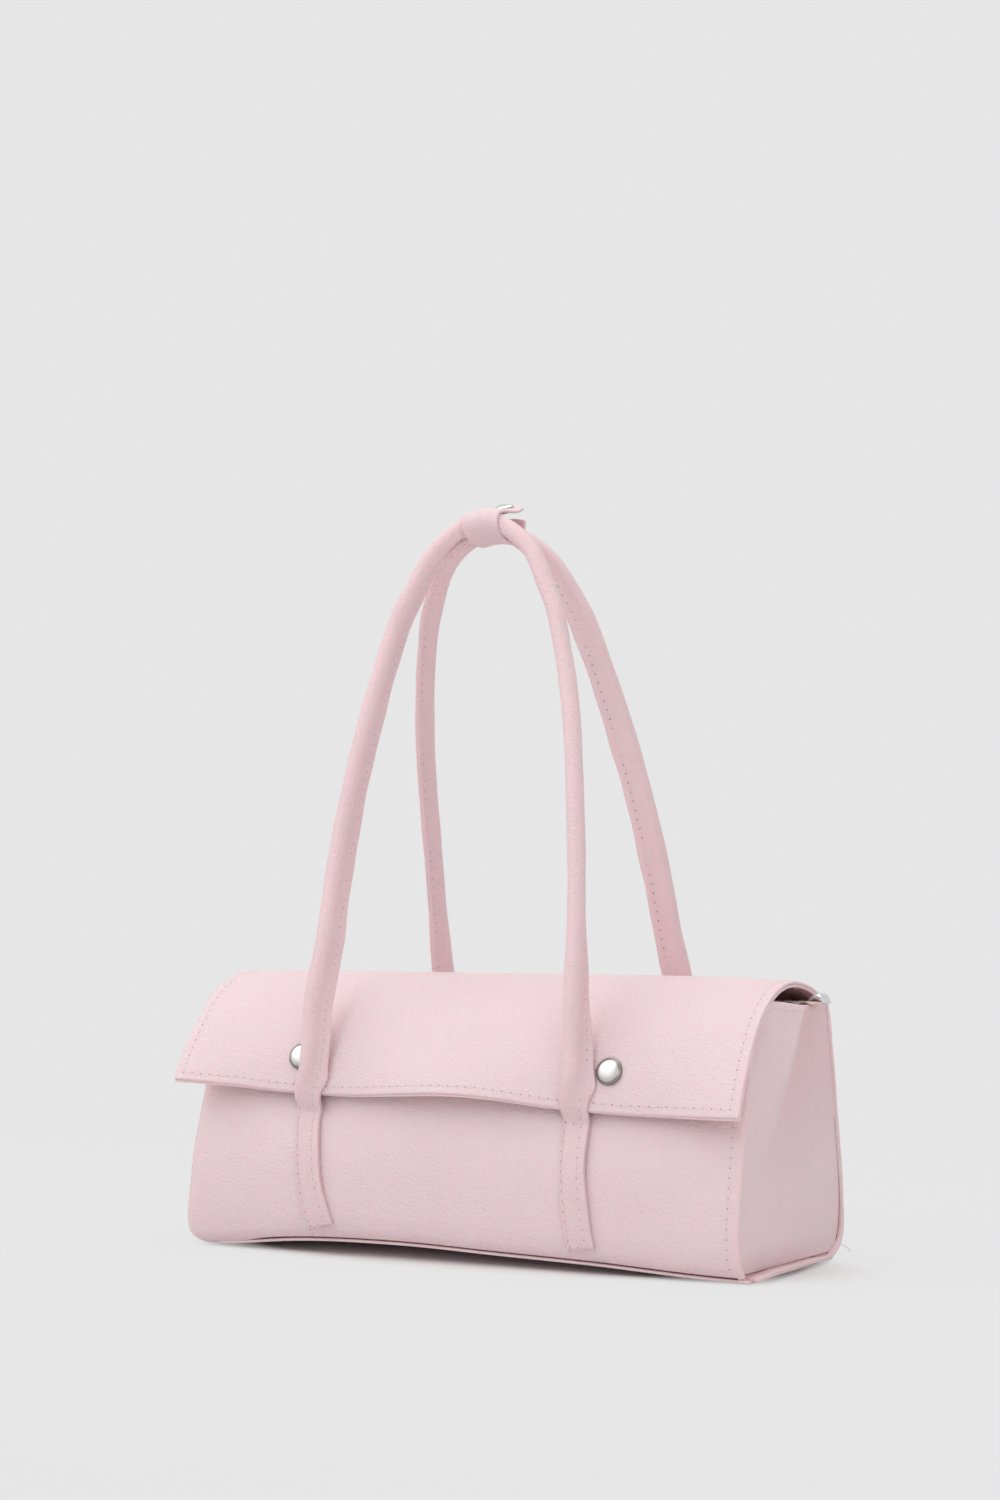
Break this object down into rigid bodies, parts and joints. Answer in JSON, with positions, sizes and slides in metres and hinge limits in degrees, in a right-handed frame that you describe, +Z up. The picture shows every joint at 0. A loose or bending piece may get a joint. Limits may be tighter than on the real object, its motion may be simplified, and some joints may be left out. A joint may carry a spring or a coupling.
{
  "type": "baguette bag",
  "caption": "Soft oblong shoulder bag with a tucked flap, rolled handles joined by a keeper, and a mouth zip.",
  "frame": {"origin": "middle of the base, on the surface that the bag stands on", "axes": "+X along the width to the bag's right as seen from the front, -Y to the front, +Z up"},
  "size_m": [0.2878, 0.1165, 0.3371],
  "materials": {
    "leather": "fine pebbled satin, pale pink",
    "lining_fabric": "plain woven lining",
    "base_board": "fibre board",
    "handle_core": "soft filler cord",
    "snap_metal": "bright nickel plate",
    "zip_tape": "cream woven tape",
    "zip_teeth": "cream nylon coil"
  },
  "bodies": {
    "body": {"front_panel": "leather", "bottom_panel": "leather", "back_panel": "leather", "left_gusset": "leather", "right_gusset": "leather", "lining": "lining_fabric", "base_board": "base_board", "front_left_tab": "leather", "front_right_tab": "leather", "rear_left_tab": "leather", "rear_right_tab": "leather", "snap_studs": "snap_metal", "snap_stud_backs": "snap_metal", "front_zip_tape": "zip_tape", "front_zip_teeth": "zip_teeth", "rear_zip_tape": "zip_tape", "rear_zip_teeth": "zip_teeth", "zip_stop": "snap_metal", "zip_end_clip": "snap_metal"},
    "flap": {"flap_outer": "leather", "flap_lining": "leather", "snap_caps": "snap_metal", "snap_sockets": "snap_metal"},
    "front_handle": {"front_handle_cover": "leather", "front_handle_core": "handle_core", "front_left_root": "leather", "front_right_root": "leather", "keeper_band": "leather", "keeper_stud": "snap_metal"},
    "rear_handle": {"rear_handle_cover": "leather", "rear_handle_core": "handle_core", "rear_left_root": "leather", "rear_right_root": "leather"},
    "tongue": {"keeper_tongue": "leather", "keeper_cap": "snap_metal", "keeper_socket": "snap_metal"},
    "slider": {"zip_slider": "snap_metal"},
    "pull": {"zip_pull": "snap_metal"}
  },
  "joints": [
    {"name": "flap_open", "type": "hinge", "parent": "body", "child": "flap", "pos_m": [0, 0.0413, 0.1124], "axis": [-1, 0, 0], "range_deg": [0, 100]},
    {"name": "front_handle_swing", "type": "hinge", "parent": "body", "child": "front_handle", "pos_m": [0, -0.04929, 0.06389], "axis": [1, 0, 0], "range_deg": [0, 110], "deforming": ["front_left_root", "front_right_root"]},
    {"name": "rear_handle_swing", "type": "hinge", "parent": "body", "child": "rear_handle", "pos_m": [0, 0.0549, 0.06389], "axis": [-1, 0, 0], "range_deg": [0, 110], "deforming": ["rear_left_root", "rear_right_root"]},
    {"name": "keeper_tongue_lift", "type": "hinge", "parent": "front_handle", "child": "tongue", "pos_m": [-0.00795, 0.0096, 0.33427], "axis": [1, 0, 0], "range_deg": [0, 75]},
    {"name": "zip_slide", "type": "slide", "parent": "body", "child": "slider", "axis": [1, 0, 0], "range_m": [0, 0.012], "deforming": ["front_zip_teeth", "rear_zip_teeth"]},
    {"name": "zip_pull_swing", "type": "hinge", "parent": "slider", "child": "pull", "pos_m": [0.112, 0.016, 0.117], "axis": [0, 0, 1], "range_deg": [-15, 40]}
  ],
  "couplings": [
    {"joint": "front_handle_swing", "follows": "flap_open", "ratio": 1.1},
    {"joint": "rear_handle_swing", "follows": "flap_open", "ratio": 1.1}
  ]
}
